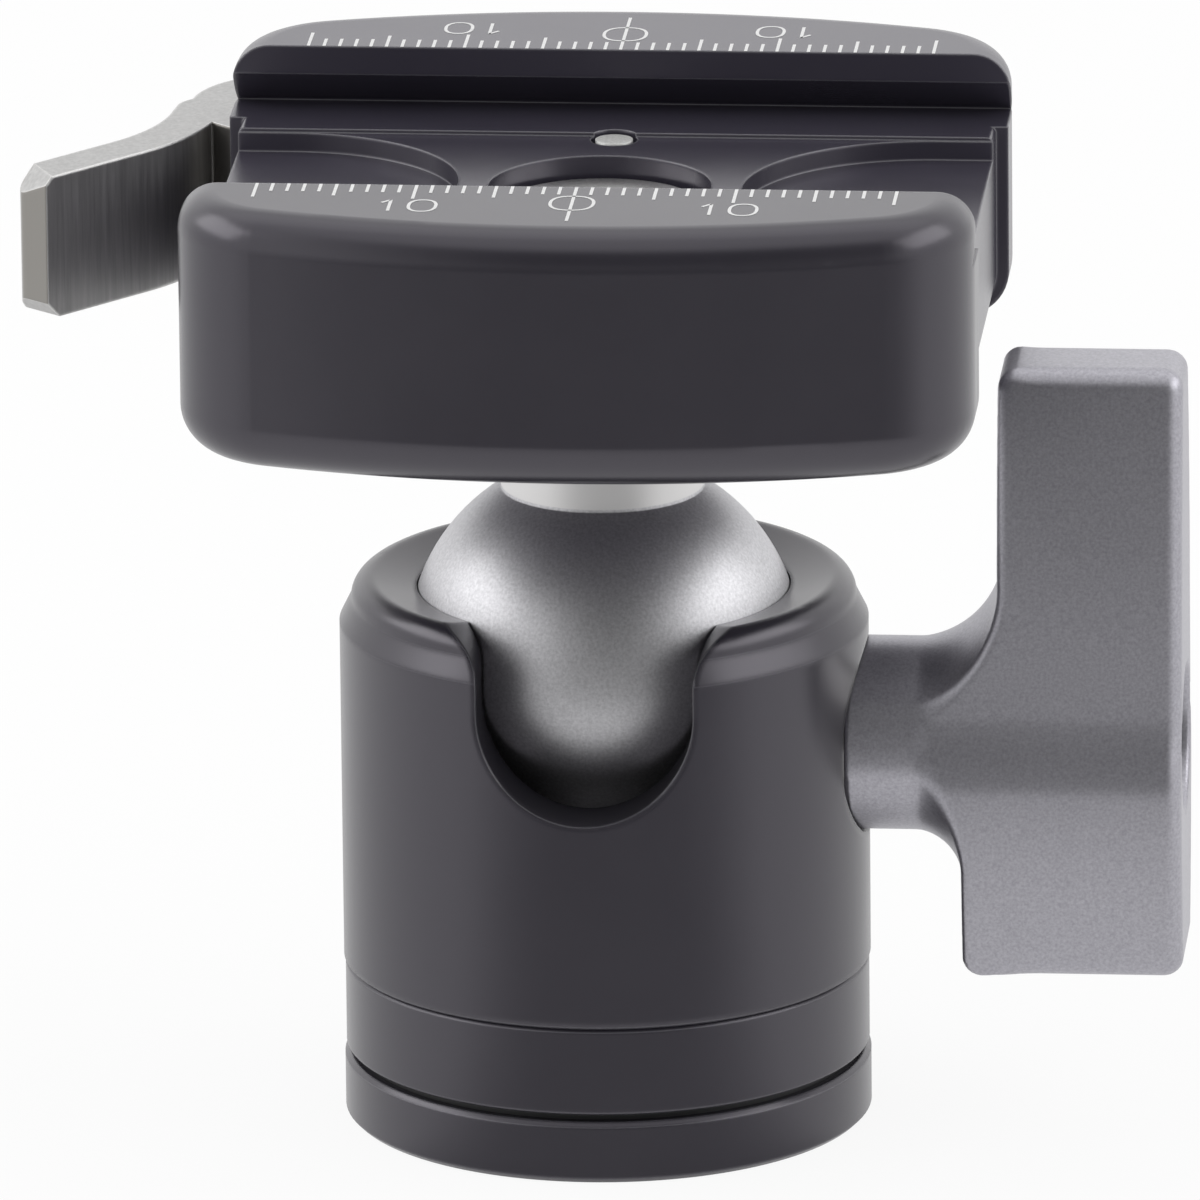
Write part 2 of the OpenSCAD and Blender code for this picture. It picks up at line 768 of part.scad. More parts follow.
module clamp_body() {
    color("#2c2b2f")
        difference() {
            union() {
                jaw_bar(jaw_inner);
                floor_block();
            }
            dovetail_cut();
            translate([-far, -ledge_half, floor_z]) cube([2 * far, 2 * ledge_half, far]);
            side_pocket();
            mirror([1, 0, 0]) side_pocket();
            translate([0, 0, screw_seat_z]) cylinder(r = screw_pocket_r, h = far);
            translate([0, 0, clamp_z - over]) cylinder(r = screw_r + free_gap / 2, h = far);
            translate([0, 0, clamp_z - over]) cylinder(r = neck_r + run_gap, h = over + neck_seat);
            translate([0, pin_y, floor_z - pin_len])
                cylinder(r = pin_r + seat_gap, h = far);
            translate([0, pin_y, floor_z - over]) cylinder(r = pin_r + free_gap, h = far);
            translate([-pivot_x, pivot_y, lever_z - 2 * run_gap])
                cylinder(r = lever_hub_r + lever_gap, h = lever_h + 4 * run_gap);
            translate([-pivot_x, pivot_y, clamp_z - over])
                cylinder(r = lever_pin_r + seat_gap, h = pin_top + free_gap - clamp_z + over);
            for (side = [-1, 1]) {
                y_rod(guide_r + run_gap, side * guide_x, guide_z, -far, guide_reach + over);
                y_rod(jaw_spring_r + wire_r + free_gap, side * guide_x, guide_z,
                    -far, jaw_spring_len - floor_front);
            }
            y_rod(draw_bore_r, -pivot_x, draw_z, -far, pivot_y);
            y_rod(neck_bore_r, -pivot_x, draw_z, neck_front - draw_travel - free_gap, pivot_y);
        }
}

module clamp_screw() {
    hex_depth = 1.6;
    color("#a9aaad")
        difference() {
            union() {
                translate([0, 0, screw_seat_z + seat_gap])
                    cylinder(r = screw_head_r, h = screw_head_h);
                translate([0, 0, screw_seat_z - screw_len])
                    cylinder(r = screw_r, h = screw_len + over);
            }
            translate([0, 0, screw_seat_z + screw_head_h - hex_depth])
                cylinder(r = (hex_half + 1) / cos(30), h = far, $fn = 6);
        }
}

module floor_pin() {
    color("#c4c4c7")
        translate([0, pin_y, floor_z - pin_len + seat_gap]) cylinder(r = pin_r, h = pin_len);
}

module lever_pin() {
    color("#b9b9bc")
        translate([-pivot_x, pivot_y, pin_z]) cylinder(r = lever_pin_r, h = pin_top - pin_z);
}

/* Jaw springs */

// Ring of wire-surface points of a coil along Y, at the given angle round the coil
function coil_ring(angle, turns, sides) = [
    for (k = [0:sides - 1])
        let (
            tilt = 360 * k / sides,
            r = jaw_spring_r + wire_r * cos(tilt),
            rise = (jaw_spring_len - 4 * wire_r) * angle / (360 * turns)
        )
        [r * cos(angle), rise + wire_r * sin(tilt), r * sin(angle)]
];

module coil_spring() {
    turns = jaw_spring_turns;
    steps = 14;
    sides = 6;
    last = turns * steps;
    points = [
        for (i = [0:last]) each coil_ring(360 * i / steps, turns, sides)
    ];
    skin = [
        for (i = [0:last - 1], k = [0:sides - 1])
            let (
                a = i * sides + k,
                b = i * sides + (k + 1) % sides
            )
            each [[a, b, b + sides], [a, b + sides, a + sides]]
    ];
    caps = [
        [for (k = [sides - 1:-1:0]) k],
        [for (k = [0:sides - 1]) last * sides + k]
    ];
    polyhedron(points, concat(skin, caps));
}

module jaw_springs() {
    color("#9a9b9e")
        for (side = [-1, 1])
            translate([side * guide_x, 2 * wire_r - floor_front, guide_z]) coil_spring();
}

/* Moving jaw */

module moving_jaw() {
    hole_y = -jaw_inner - rod_hole;
    color("#2c2b2f")
        difference() {
            mirror([0, 1, 0])
                difference() {
                    jaw_bar(jaw_inner);
                    dovetail_cut();
                }
            for (side = [-1, 1])
                y_rod(guide_r + seat_gap, side * guide_x, guide_z, hole_y, 0);
            y_rod(draw_r + seat_gap, -pivot_x, draw_z, -jaw_inner - draw_hole, 0);
        }
}

module guide_rods() {
    color("#b9b9bc")
        for (side = [-1, 1])
            y_rod(guide_r, side * guide_x, guide_z, seat_gap - jaw_inner - rod_hole, guide_reach);
}

module draw_rod() {
    bush_slack = bush_offset + 0.1;
    hole_r = bush_r + eye_play;
    color("#9a9b9e") {
        y_rod(draw_r, -pivot_x, draw_z, seat_gap - jaw_inner - draw_hole, neck_front + over);
        translate([-pivot_x, 0, draw_z - eye_t / 2])
            linear_extrude(eye_t)
                difference() {
                    union() {
                        translate([0, bush_y]) oval(hole_r + eye_wall, bush_slack - eye_play);
                        translate([-neck_half, neck_front])
                            square([2 * neck_half, bush_y - hole_r - neck_front]);
                    }
                    translate([0, bush_y]) oval(hole_r, bush_slack - eye_play);
                }
    }
}

/* Release lever */

// Frame of the handle's tip: x across it outwards to inwards, +y towards the hub
module at_tip() {
    translate([-pivot_x - handle_root, pivot_y, 0])
        rotate(-root_angle)
            translate([-bend_r, -root_len, 0])
                rotate(-bend_angle)
                    translate([bend_r, -tip_len, 0])
                        children();
}

// Handle's straight tip, in its own frame, its outer end corner rounded
module tip_outline() {
    half_t = handle_t / 2;
    polygon([
        [half_t, 0], [half_t, tip_len], [-half_t, tip_len], [-half_t, tip_round],
        [tip_round - half_t, tip_round], [tip_round - half_t, 0]
    ]);
    quarter(tip_round, tip_round - half_t, tip_round, -1, -1);
}

// Handle's straight root, its outer end corner rounded into the hub
module root_outline() {
    half_t = handle_t / 2;
    end = root_round / 2;
    polygon([
        [half_t, -root_len], [half_t, end], [root_round - half_t, end],
        [root_round - half_t, end - root_round], [-half_t, end - root_round],
        [-half_t, -root_len]
    ]);
    quarter(root_round, root_round - half_t, end - root_round, -1, 1);
}

// Handle: straight root, bend and straight tip, starting at the hub's left side
module handle_outline() {
    half_t = handle_t / 2;
    translate([-handle_root, 0])
        rotate(-root_angle) {
            root_outline();
            translate([-bend_r, -root_len]) {
                intersection() {
                    difference() {
                        circle(bend_r + half_t, $fn = 128);
                        circle(bend_r - half_t, $fn = 128);
                    }
                    polygon([
                        [0, 0], [2 * bend_r, 0],
                        [2 * bend_r, -2 * bend_r * tan(bend_angle + lap_angle)]
                    ]);
                }
                rotate(-bend_angle) translate([bend_r, -tip_len]) tip_outline();
            }
        }
}

// Wedge that takes a 45 degree chamfer of the given size off an edge along x at the origin
module chamfer_wedge(size) {
    translate([-far / 2, 0, 0])
        rotate([90, 0, 90])
            linear_extrude(far)
                polygon([[-far, -far - size], [-far, far], [far, far], [far, far - size]]);
}

module lever() {
    slot_from = 250;
    slot_to = 400;
    slot_step = 30;
    color("#4a4a4d")
        difference() {
            translate([-pivot_x, pivot_y, lever_z])
                linear_extrude(lever_h) {
                    circle(lever_hub_r);
                    handle_outline();
                }
            translate([-pivot_x, pivot_y, draw_z - slot_h / 2])
                linear_extrude(slot_h) {
                    circle(hub_slot_r);
                    polygon([
                        [0, 0],
                        for (a = [slot_from:slot_step:slot_to])
                            2 * lever_hub_r * [cos(a), sin(a)]
                    ]);
                }
            translate([-pivot_x, bush_y, 0]) cylinder(r = bush_r + seat_gap, h = 2 * far);
            at_tip()
                translate([handle_t / 2, 0, lever_top])
                    rotate(-bevel_slant)
                        chamfer_wedge(tip_bevel);
            at_tip()
                translate([0, 0, lever_z])
                    mirror([0, 0, 1])
                        chamfer_wedge(tip_chamfer);
        }
}

module cam_bush() {
    color("#b9b9bc")
        difference() {
            translate([-pivot_x, bush_y, lever_z]) cylinder(r = bush_r, h = lever_h);
            translate([-pivot_x, pivot_y, 0]) cylinder(r = lever_pin_r + run_gap, h = 2 * far);
        }
}

base_plate();
thread_insert();
pan_washer();
pan_spring();
retaining_ring();
housing();
lower_collar();
ball_seat();
seat_spring();
ball_liner();
brake_shoe();
clamp_shaft();
knob();
knob_screw();
ball();
clamp_body();
clamp_screw();
floor_pin();
lever_pin();
jaw_springs();
moving_jaw();
guide_rods();
draw_rod();
lever();
cam_bush();
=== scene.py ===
"""Looks for the tripod ball head: finishes, engraved scales, softened knob, studio and camera.

Lengths are in metres and angles in degrees unless a name says otherwise.
"""
import json
import math

import bpy
import numpy as np
from mathutils import Matrix, Vector

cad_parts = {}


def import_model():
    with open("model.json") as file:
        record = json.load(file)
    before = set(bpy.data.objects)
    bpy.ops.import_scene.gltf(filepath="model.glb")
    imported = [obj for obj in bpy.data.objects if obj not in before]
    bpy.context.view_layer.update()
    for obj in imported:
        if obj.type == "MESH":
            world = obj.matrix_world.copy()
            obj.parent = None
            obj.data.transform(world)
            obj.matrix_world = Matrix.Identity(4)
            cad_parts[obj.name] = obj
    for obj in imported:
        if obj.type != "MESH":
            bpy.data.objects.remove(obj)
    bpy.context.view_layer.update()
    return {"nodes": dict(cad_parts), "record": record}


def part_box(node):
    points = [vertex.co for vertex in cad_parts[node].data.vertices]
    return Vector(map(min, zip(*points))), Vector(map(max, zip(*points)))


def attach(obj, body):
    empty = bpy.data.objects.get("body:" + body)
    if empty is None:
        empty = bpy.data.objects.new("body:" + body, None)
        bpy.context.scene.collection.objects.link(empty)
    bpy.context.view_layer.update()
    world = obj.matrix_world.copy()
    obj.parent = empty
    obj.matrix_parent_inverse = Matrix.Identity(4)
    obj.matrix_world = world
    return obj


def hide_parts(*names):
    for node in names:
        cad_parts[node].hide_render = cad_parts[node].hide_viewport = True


MM = 0.001


# ---------------------------------------------------------------- frame

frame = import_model()
nodes = frame["nodes"]


def box_mm(node):
    """Lowest and highest corner of a CAD node, in millimetres."""
    low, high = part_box(node)
    return [v / MM for v in low], [v / MM for v in high]


# ---------------------------------------------------------------- node helpers

BEVEL_SAMPLES = 6
GRAIN_DEPTH = 0.02 * MM


def new_material(name):
    """A node material, its tree and its shader."""
    material = bpy.data.materials.new(name)
    material.use_nodes = True
    tree = material.node_tree
    return material, tree, tree.nodes["Principled BSDF"]


def add(tree, kind, **settings):
    """A new node with its inputs or properties set by name."""
    node = tree.nodes.new(kind)
    for key, value in settings.items():
        if key in node.inputs:
            node.inputs[key].default_value = value
        else:
            setattr(node, key, value)
    return node


def feed(tree, socket, term):
    """Links a socket to another one, or sets it to a number."""
    if isinstance(term, (int, float)):
        socket.default_value = term
    else:
        tree.links.new(term, socket)


def maths(tree, operation, *terms):
    """A Math node over sockets and numbers."""
    node = add(tree, "ShaderNodeMath", operation=operation)
    for socket, term in zip(node.inputs, terms):
        feed(tree, socket, term)
    return node.outputs[0]


def mixed(tree, factor, low, high):
    """Value between low, at factor 0, and high, at factor 1."""
    node = add(tree, "ShaderNodeMix", data_type="FLOAT")
    for name, term in (("Factor", factor), ("A", low), ("B", high)):
        feed(tree, node.inputs[name], term)
    return node.outputs[0]


def object_xyz(tree):
    """The X, Y and Z outputs of the object coordinates."""
    coords = add(tree, "ShaderNodeTexCoord")
    split = add(tree, "ShaderNodeSeparateXYZ")
    tree.links.new(coords.outputs["Object"], split.inputs[0])
    return split.outputs


def object_coords(tree, scale=(1, 1, 1)):
    """Object coordinates, stretched by a scale."""
    coords = add(tree, "ShaderNodeTexCoord")
    mapping = add(tree, "ShaderNodeMapping")
    mapping.inputs["Scale"].default_value = scale
    tree.links.new(coords.outputs["Object"], mapping.inputs["Vector"])
    return mapping.outputs["Vector"]


def noise(tree, vector, scale, detail=3.0, roughness=0.5):
    """Noise between 0 and 1."""
    texture = add(tree, "ShaderNodeTexNoise", Scale=scale, Detail=detail, Roughness=roughness)
    tree.links.new(vector, texture.inputs["Vector"])
    return texture.outputs["Fac"]


def spread(tree, value, low, high, start=0.0, end=1.0, kind="LINEAR"):
    """Maps low..high onto start..end."""
    node = add(tree, "ShaderNodeMapRange", interpolation_type=kind)
    numbers = {"From Min": low, "From Max": high, "To Min": start, "To Max": end}
    for socket, number in numbers.items():
        node.inputs[socket].default_value = number
    tree.links.new(value, node.inputs["Value"])
    return node.outputs["Result"]


def ramp(tree, factor, low, high):
    """Maps a 0..1 factor onto low..high."""
    return spread(tree, factor, 0, 1, low, high)


def colour_sockets(sockets):
    """The colour ones among a Mix node's sockets."""
    return [socket for socket in sockets if socket.type == "RGBA"]


def tint(tree, factor, dark, light):
    """Blends two colours by a factor."""
    node = add(tree, "ShaderNodeMix", data_type="RGBA")
    colour_a, colour_b = colour_sockets(node.inputs)
    colour_a.default_value = (*dark, 1)
    colour_b.default_value = (*light, 1)
    tree.links.new(factor, node.inputs["Factor"])
    return colour_sockets(node.outputs)[0]


def grain(tree, shader, height, strength, edge_radius):
    """Fine bump over softened edges."""
    edge = add(tree, "ShaderNodeBevel", Radius=edge_radius, samples=BEVEL_SAMPLES)
    bump = add(tree, "ShaderNodeBump", Strength=strength, Distance=GRAIN_DEPTH)
    tree.links.new(height, bump.inputs["Height"])
    tree.links.new(edge.outputs["Normal"], bump.inputs["Normal"])
    tree.links.new(bump.outputs["Normal"], shader.inputs["Normal"])


# ---------------------------------------------------------------- finishes

EDGE_STARTS, EDGE_FULL = 0.995, 0.88   # cosine between the bevelled and the true normal
ANODISED_DARK, ANODISED_LIGHT = (0.018, 0.0164, 0.0235), (0.0225, 0.0208, 0.0285)
# Edge colour of the anodised parts: rubbed wear with a painted highlight line on top.
RUBBED_AND_HIGHLIT, RUBBED_AND_HIGHLIT_WIDTH = (0.22, 0.22, 0.235), 0.16 * MM
NECK, NECK_Z = (0.76, 0.752, 0.75), 0.0413
LEVER_EDGE_HIGHLIGHT, SHADED_END_FACE = (0.86, 0.855, 0.84), (0.29, 0.279, 0.262)
LEVER_END = (-0.64, -0.77, 0)   # the way the lever's end face points; that face gets painted shade


def set_all(shader, **values):
    """Sets shader inputs by their names, with underscores for spaces."""
    for key, value in values.items():
        shader.inputs[key.replace("_", " ")].default_value = value


def edge_mask(tree, radius):
    """1 along edges within the radius, 0 on open faces."""
    edge = add(tree, "ShaderNodeBevel", Radius=radius, samples=BEVEL_SAMPLES)
    geometry = add(tree, "ShaderNodeNewGeometry")
    dot = add(tree, "ShaderNodeVectorMath", operation="DOT_PRODUCT")
    tree.links.new(edge.outputs["Normal"], dot.inputs[0])
    tree.links.new(geometry.outputs["Normal"], dot.inputs[1])
    return spread(tree, dot.outputs["Value"], EDGE_STARTS, EDGE_FULL)


def blend(tree, factor, under, over, amount=1.0):
    """Mixes a fixed colour over a colour socket by a factor."""
    node = add(tree, "ShaderNodeMix", data_type="RGBA")
    below, above = colour_sockets(node.inputs)
    tree.links.new(under, below)
    above.default_value = (*over, 1)
    tree.links.new(maths(tree, "MULTIPLY", factor, amount), node.inputs["Factor"])
    return colour_sockets(node.outputs)[0]


def anodised_finish(name, edge_radius, lift=1.0, wear_and_highlight=0.6):
    """Satin black anodised aluminium: faint blotches, blasted grain, edges lighter from rubbed wear
    and a painted highlight.
    """
    material, tree, shader = new_material(name)
    vector = object_coords(tree)
    fine = noise(tree, vector, 7000.0, detail=2.0, roughness=0.6)
    broad = noise(tree, vector, 110.0, detail=5.0, roughness=0.6)
    dark, light = ([v * lift for v in shade] for shade in (ANODISED_DARK, ANODISED_LIGHT))
    colour = tint(tree, broad, dark, light)
    # Lighter edges: partly rubbed wear, partly a painted highlight along them.
    colour = blend(tree, edge_mask(tree, RUBBED_AND_HIGHLIT_WIDTH), colour, RUBBED_AND_HIGHLIT, wear_and_highlight)
    tree.links.new(colour, shader.inputs["Base Color"])
    tree.links.new(ramp(tree, broad, 0.22, 0.29), shader.inputs["Roughness"])
    set_all(shader, IOR=1.7, Specular_Tint=(0.96, 0.92, 1, 1))
    grain(tree, shader, fine, strength=0.1, edge_radius=edge_radius)
    return material


def blasted(name, dark, light, roughness, edge_radius, speck=5200.0, strength=0.3, metallic=1.0):
    """Bead-blasted metal: fine speckle in colour, gloss and relief."""
    material, tree, shader = new_material(name)
    vector = object_coords(tree)
    fine = noise(tree, vector, speck, detail=2.5, roughness=0.65)
    broad = noise(tree, vector, 130.0, detail=4.0, roughness=0.55)
    colour = tint(tree, spread(tree, fine, 0.3, 0.7), dark, light)
    tree.links.new(colour, shader.inputs["Base Color"])
    gloss = ramp(tree, broad, roughness - 0.03, roughness + 0.04)
    tree.links.new(gloss, shader.inputs["Roughness"])
    set_all(shader, Metallic=metallic)
    grain(tree, shader, fine, strength, edge_radius)
    return material, tree, shader, colour


def ball_finish():
    """Bead-blasted ball under a brighter, finely turned neck."""
    material, tree, shader, colour = blasted(
        "blasted_ball", (0.54, 0.536, 0.556), (0.72, 0.715, 0.737), 0.47, 0.15 * MM)
    neck = spread(tree, object_xyz(tree)["Z"], NECK_Z - 0.05 * MM, NECK_Z + 0.05 * MM)
    tree.links.new(blend(tree, neck, colour, NECK), shader.inputs["Base Color"])
    rings = noise(tree, object_coords(tree, (0, 0, 1)), 9000.0, detail=2.0, roughness=0.7)
    blotches = noise(tree, object_coords(tree), 130.0)
    gloss = mixed(tree, neck, ramp(tree, blotches, 0.44, 0.5), ramp(tree, rings, 0.38, 0.5))
    tree.links.new(gloss, shader.inputs["Roughness"])
    return material


def brushed(name, dark, light, roughness, stretch, edge_radius, edge_highlight=None):
    """Ground metal with fine streaks across the stretched axis."""
    material, tree, shader = new_material(name)
    streaks = noise(tree, object_coords(tree, stretch), 1.0, detail=4.0, roughness=0.6)
    colour = tint(tree, streaks, dark, light)
    # Optional edge colour: a painted highlight along the edges.
    if edge_highlight:
        colour = blend(tree, edge_mask(tree, edge_radius), colour, edge_highlight, amount=0.7)
    tree.links.new(colour, shader.inputs["Base Color"])
    gloss = ramp(tree, streaks, roughness - 0.06, roughness + 0.06)
    tree.links.new(gloss, shader.inputs["Roughness"])
    set_all(shader, Metallic=1.0)
    grain(tree, shader, streaks, strength=0.12, edge_radius=edge_radius)
    return material, tree, shader, colour


def lever_finish():
    """Ground steel lever with painted highlights along its edges and a darker, warmer end face of
    painted shade.
    """
    material, tree, shader, colour = brushed(
        "ground_steel", (0.28, 0.277, 0.275), (0.6, 0.595, 0.59), 0.42, (3400, 3400, 160),
        0.3 * MM, LEVER_EDGE_HIGHLIGHT)
    coords = add(tree, "ShaderNodeTexCoord")
    facing = add(tree, "ShaderNodeVectorMath", operation="DOT_PRODUCT")
    facing.inputs[1].default_value = LEVER_END
    tree.links.new(coords.outputs["Normal"], facing.inputs[0])
    # Painted shade: the end face, which faces the left lamp, gets a darker, warmer colour.
    end = spread(tree, facing.outputs["Value"], 0.85, 0.95)
    tree.links.new(blend(tree, end, colour, SHADED_END_FACE), shader.inputs["Base Color"])
    return material


def plastic(name, dark, light, roughness):
    """Moulded polymer: soft mottling and a faint moulded grain."""
    material, tree, shader = new_material(name)
    vector = object_coords(tree)
    fine = noise(tree, vector, 2500.0)
    broad = noise(tree, vector, 200.0, detail=4.0)
    tree.links.new(tint(tree, broad, dark, light), shader.inputs["Base Color"])
    tree.links.new(ramp(tree, fine, roughness - 0.05, roughness + 0.05), shader.inputs["Roughness"])
    grain(tree, shader, fine, strength=0.1, edge_radius=0.05 * MM)
    return material


anodised = anodised_finish("satin_anodised", 0.28 * MM)
housing_metal = anodised_finish("satin_anodised_soft", 0.6 * MM)
# Stronger lightening of the edges here: rubbed wear and painted highlight.
clamp_metal = anodised_finish("satin_anodised_rubbed_highlit", 0.28 * MM, lift=2.0, wear_and_highlight=0.95)
knob_metal = blasted("blasted_knob", (0.34, 0.333, 0.368), (0.46, 0.452, 0.492), 0.38, 0.05 * MM,
                     metallic=0.85)[0]
ball_metal = ball_finish()
machined = blasted("turned_aluminium", (0.6, 0.595, 0.59), (0.78, 0.775, 0.77), 0.34, 0.15 * MM,
                   speck=3600.0)[0]
TURNED = (900, 900, 3000)   # streak density of turned metal along X, Y and Z
steel = brushed("bright_steel", (0.46, 0.456, 0.45), (0.6, 0.596, 0.59), 0.3, TURNED, 0.1 * MM)[0]
lever_steel = lever_finish()
brass = brushed("turned_brass", (0.5, 0.37, 0.16), (0.66, 0.5, 0.24), 0.34, TURNED, 0.1 * MM)[0]
liner = plastic("pale_liner", (0.7, 0.69, 0.66), (0.78, 0.77, 0.74), 0.5)
# Lighter pin colour: a painted highlight in place of a domed top's glint.
pin_metal_painted_highlight = blasted("dull_pin_painted_highlight", (0.58, 0.58, 0.57), (0.74, 0.74, 0.73), 0.55, 0.3 * MM)[0]
polymer = plastic("black_polymer", (0.012, 0.012, 0.013), (0.02, 0.02, 0.021), 0.45)
FINISHES = {"anodised": anodised, "knob_metal": knob_metal, "ball_metal": ball_metal,
            "machined": machined, "steel": steel, "lever_steel": lever_steel, "brass": brass,
            "liner": liner, "polymer": polymer}
SPECIAL = {"housing": housing_metal, "clamp_body": clamp_metal, "floor_pin": pin_metal_painted_highlight}

for part in frame["record"]["subparts"]:
    piece = nodes[part["node"]]
    piece.data.materials.clear()
    piece.data.materials.append(SPECIAL.get(part["node"], FINISHES[part["material_slot"]]))
    for face in piece.data.polygons:
        face.material_index = 0


# ---------------------------------------------------------------- engraved scales

def paint():
    """White filling of the engraved scales."""
    material, tree, shader = new_material("scale_paint")
    fine = noise(tree, object_coords(tree), 6000.0)
    colour = tint(tree, fine, (0.72, 0.72, 0.72), (0.86, 0.86, 0.86))
    tree.links.new(colour, shader.inputs["Base Color"])
    shader.inputs["Roughness"].default_value = 0.6
    return material


PAINT = paint()
LINE = 0.21     # millimetres, width of the engraved lines
PROUD = 0.012   # millimetres that the paint stands above the jaw
SCALE_HALF = 20
TEN_TICK, FIVE_TICK, ONE_TICK, CENTRE_LINE = 3.2, 2.7, 1.8, 7.8
TICK_START = 0.05
ONE_FOOT, ONE_HEAD = 6.0, 3.5   # the upright of a "1", from the lip outwards


def stroke(points, width, closed=False):
    """Quads of a flat line of the given width through 2-D points, as lists of corner points."""
    points = [Vector(p) for p in points]
    count = len(points)
    sides = []
    for i in range(count):
        back = points[i - 1] if closed or i > 0 else points[i]
        ahead = points[(i + 1) % count] if closed or i < count - 1 else points[i]
        along = (ahead - back).normalized()
        across = Vector((-along.y, along.x)) * width / 2
        sides.append((points[i] + across, points[i] - across))
    pairs = list(zip(sides, sides[1:])) + ([(sides[-1], sides[0])] if closed else [])
    return [[a[0], a[1], b[1], b[0]] for a, b in pairs]


def ring(x, y, half_w, half_h, power=2.4, steps=40):
    """Points of a rounded-square oval."""
    points = []
    for i in range(steps):
        t = 2 * math.pi * i / steps
        c, s = math.cos(t), math.sin(t)
        points.append((x + half_w * math.copysign(abs(c) ** (2 / power), c),
                       y + half_h * math.copysign(abs(s) ** (2 / power), s)))
    return points


def scale_marks():
    """Engraved marks of one jaw: x along it, y outwards from its lip, in millimetres."""
    quads = []
    for mm in range(-SCALE_HALF, SCALE_HALF + 1):
        if mm == 0:
            continue
        length = TEN_TICK if mm % 10 == 0 else FIVE_TICK if mm % 5 == 0 else ONE_TICK
        quads += stroke([(mm, TICK_START), (mm, length)], LINE)
    quads += stroke([(0, TICK_START), (0, CENTRE_LINE)], LINE)
    quads += stroke(ring(0, 3.75, half_w=1.35, half_h=1.6), LINE, closed=True)
    for ten in (-10, 10):
        quads += stroke(ring(ten + 0.75, 4.75, half_w=0.85, half_h=1.3), LINE, closed=True)
        one = ten - 1.3
        quads += stroke([(one, ONE_FOOT), (one, ONE_HEAD)], LINE)
        quads += stroke([(one, ONE_HEAD), (one - 0.55, 4.15)], LINE)
    return quads


def marks_object(name, body, lip_y, sign, top_z):
    """The scale of one jaw, laid on its top face. sign is the jaw's outward direction along Y."""
    vertices, faces = [], []
    for quad in scale_marks():
        start = len(vertices)
        for x, y in quad:
            vertices.append((-sign * x * MM, (lip_y + sign * y) * MM, (top_z + PROUD) * MM))
        faces.append(tuple(range(start, start + 4)))
    mesh = bpy.data.meshes.new(name)
    mesh.from_pydata(vertices, [], faces)
    mesh.materials.append(PAINT)
    for polygon in mesh.polygons:
        if polygon.normal.z < 0:
            polygon.flip()
    piece = bpy.data.objects.new(name, mesh)
    bpy.context.scene.collection.objects.link(piece)
    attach(piece, body)
    return piece


LIP_HALF = 16.25
clamp_top = box_mm("clamp_body")[1][2]
marks_object("front_scale", "jaw", -LIP_HALF, -1, clamp_top)
marks_object("rear_scale", "clamp", LIP_HALF, 1, clamp_top)


# ---------------------------------------------------------------- knob with rounded edges

KNOB_Z = 25.0
STEM_R, STEM_X = 6.1, 15.62
LONG_X, SHORT_X, OUTER_X = 25.3, 23.0, 37.0
TOP_Z, BOTTOM_Z = 49.9, 10.2
LONG_FILLET, SHORT_FILLET = 5.8, 3.5
HALF_THICK, UPPER_BOW, LOWER_BOW = 6.2, 95.59, 58.0
ARM_BLEND = 2.0                            # height over which the lower arm turns into the upper
CREST, STEP_SLOPE = 0.25, 0.34             # the crest across the faces, and the slope under it
CREST_FOOT, CREST_TOP, CREST_BACK, CREST_GONE = -2.6, 0.3, 3.0, 22.0
CORNER, SOFT_EDGE, CRISP_EDGE = 1.3, 1.15, 0.35
SOFTER_FROM, SOFTER_OVER = 24.0, 4.0       # where the edges turn from crisp to soft
STEM_END, STEM_SINK, STEM_OVER, STEM_BLEND = 19.6, 0.6, 3.0, 0.25
GRID_STEP, GRID_HALF_Y, GRID_MARGIN, GRID_INNER = 0.3, 6.9, 0.7, 0.63
SETTLE_STEPS = 5                           # passes that pull the mesh onto the exact surface
BORES = ((4.02, 0.0, 27.97), (2.65, 0.0, 60.0), (4.6, 32.5, 60.0))   # radius, start and end along X


def round_cut(a, b, r):
    """Intersection of two distance fields with the edge between them rounded."""
    return np.minimum(np.maximum(a, b), -r) + np.hypot(np.maximum(a + r, 0), np.maximum(b + r, 0))


def round_join(a, b, r):
    """Union of two distance fields with a fillet between them."""
    return np.maximum(np.minimum(a, b), r) - np.hypot(np.maximum(r - a, 0), np.maximum(r - b, 0))


def soft_join(a, b, reach):
    """Union of two distance fields, blended only where they are nearly equal."""
    near = np.maximum(reach - np.abs(a - b), 0)
    return np.minimum(a, b) - near * near / (4 * reach)


def smooth(t):
    """Smooth step from 0 to 1 as t goes from 0 to 1."""
    t = np.clip(t, 0, 1)
    return t * t * (3 - 2 * t)


def eased(t):
    """Area under the smooth step from 0 to t."""
    t = np.clip(t, 0, 1)
    return t ** 3 - t ** 4 / 2


def rounded_box(x, z, x0, x1, z0, z1):
    """Distance to a rectangle with rounded corners."""
    dx = np.abs(x - (x0 + x1) / 2) - (x1 - x0) / 2 + CORNER
    dz = np.abs(z - (z0 + z1) / 2) - (z1 - z0) / 2 + CORNER
    outside = np.hypot(np.maximum(dx, 0), np.maximum(dz, 0))
    return outside + np.minimum(np.maximum(dx, dz), 0) - CORNER


